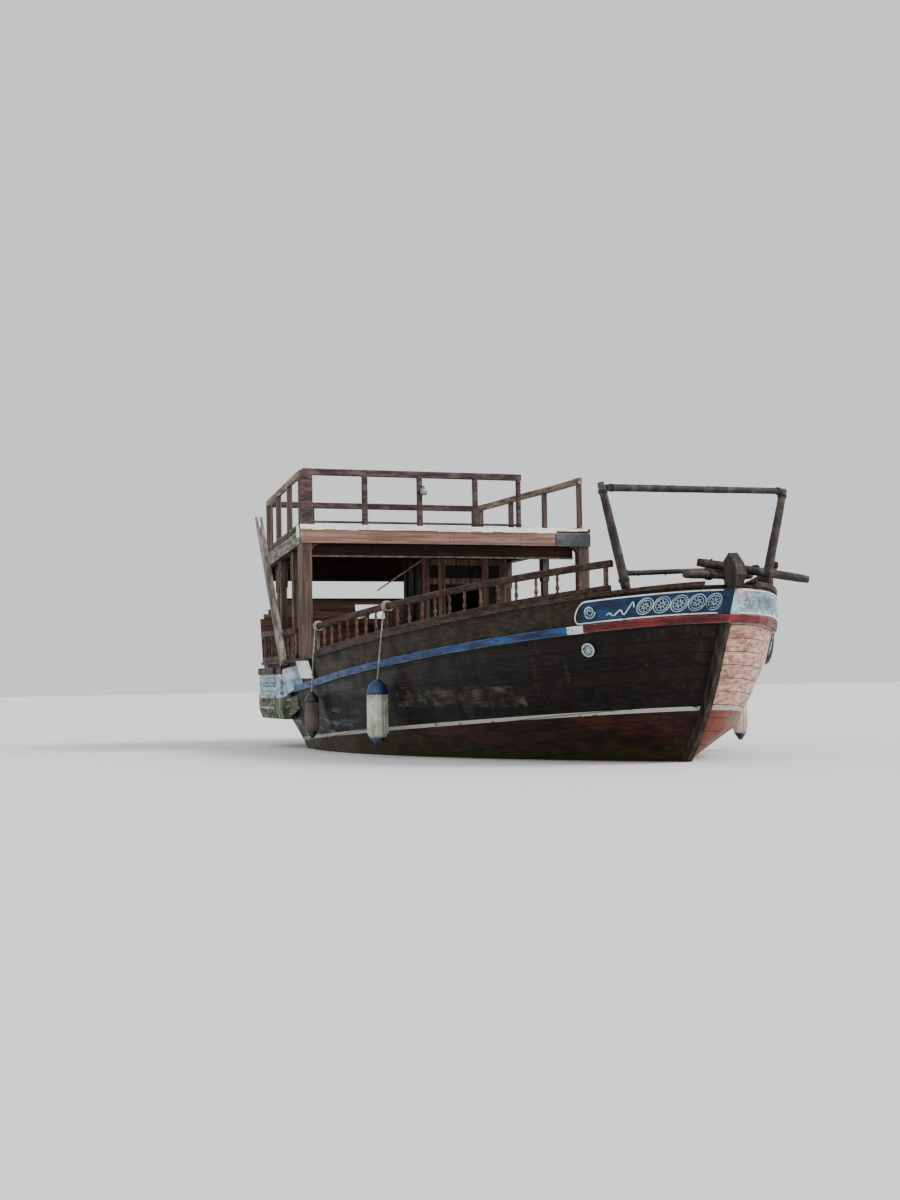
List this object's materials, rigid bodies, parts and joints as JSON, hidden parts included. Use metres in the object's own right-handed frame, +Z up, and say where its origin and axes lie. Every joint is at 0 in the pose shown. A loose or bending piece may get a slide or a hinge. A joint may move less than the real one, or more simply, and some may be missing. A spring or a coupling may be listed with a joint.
{
  "type": "dhow sailing boat",
  "caption": "Wooden dhow with a bluff raked bow, carved bow boards, turned balustrades, a raised sun deck on posts over the stern, and a hung rudder with a tiller",
  "frame": {"origin": "amidships on the centreline at the water's surface", "axes": "+X towards the bow, +Y to port, +Z up"},
  "size_m": [13.0396, 5.374, 5.6104],
  "materials": {
    "topside_planks": "weathered",
    "dark_wood": "weathered",
    "weathered_wood": "weathered",
    "brown_wood": "oiled",
    "deck_planks": "weathered",
    "blue_paint": "painted",
    "board_paint": "painted",
    "grey_poles": "weathered",
    "bronze": "tarnished",
    "iron": "painted",
    "vinyl": "scuffed"
  },
  "bodies": {
    "boat": {"hull": "topside_planks", "keel": "topside_planks", "stem_post": "dark_wood", "stern_post": "dark_wood", "transom_port": "brown_wood", "transom_starboard": "brown_wood", "stern_head": "brown_wood", "main_deck": "deck_planks", "bulwark_port": "dark_wood", "bulwark_starboard": "dark_wood", "cap_rail_port": "weathered_wood", "cap_rail_starboard": "weathered_wood", "rub_strake_port": "blue_paint", "rub_strake_starboard": "blue_paint", "bow_board_port": "board_paint", "bow_board_starboard": "board_paint", "balustrade_port": "brown_wood", "balustrade_starboard": "brown_wood", "quarter_rail_port": "brown_wood", "quarter_rail_starboard": "brown_wood", "quarter_gallery_port": "blue_paint", "quarter_gallery_starboard": "blue_paint", "bench_port": "weathered_wood", "bench_starboard": "weathered_wood", "sun_deck": "brown_wood", "deck_post_fore_port": "brown_wood", "deck_post_fore_starboard": "brown_wood", "deck_post_second_port": "brown_wood", "deck_post_second_starboard": "brown_wood", "deck_post_third_port": "brown_wood", "deck_post_third_starboard": "brown_wood", "deck_post_aft_port": "brown_wood", "deck_post_aft_starboard": "brown_wood", "sun_deck_rail_front": "brown_wood", "sun_deck_rail_port": "weathered_wood", "sun_deck_rail_starboard": "weathered_wood", "sun_deck_rail_aft": "brown_wood", "bow_frame_post_port": "grey_poles", "bow_frame_post_starboard": "grey_poles", "bow_frame_bar": "grey_poles", "bow_thin_pole": "grey_poles", "bow_log_upper": "grey_poles", "bow_log_lower": "grey_poles", "engine": "iron", "engine_casing": "weathered_wood", "deckhouse": "dark_wood", "mast_thwart": "weathered_wood", "crutch": "weathered_wood", "fender_starboard_fore": "vinyl", "fender_starboard_aft": "vinyl", "fender_port_fore": "vinyl", "stern_tube": "bronze"},
    "rudder": {"rudder": "dark_wood", "tiller": "grey_poles"},
    "propeller": {"propeller": "bronze"}
  },
  "joints": [
    {"name": "rudder_steer", "type": "hinge", "parent": "boat", "child": "rudder", "pos_m": [-5.597, 0, 0], "axis": [-0.3219, 0, 0.9468], "range_deg": [-35, 35]},
    {"name": "propeller_spin", "type": "hinge", "parent": "boat", "child": "propeller", "pos_m": [-4.9, 0, -0.545], "axis": [1, 0, 0], "continuous": true}
  ]
}
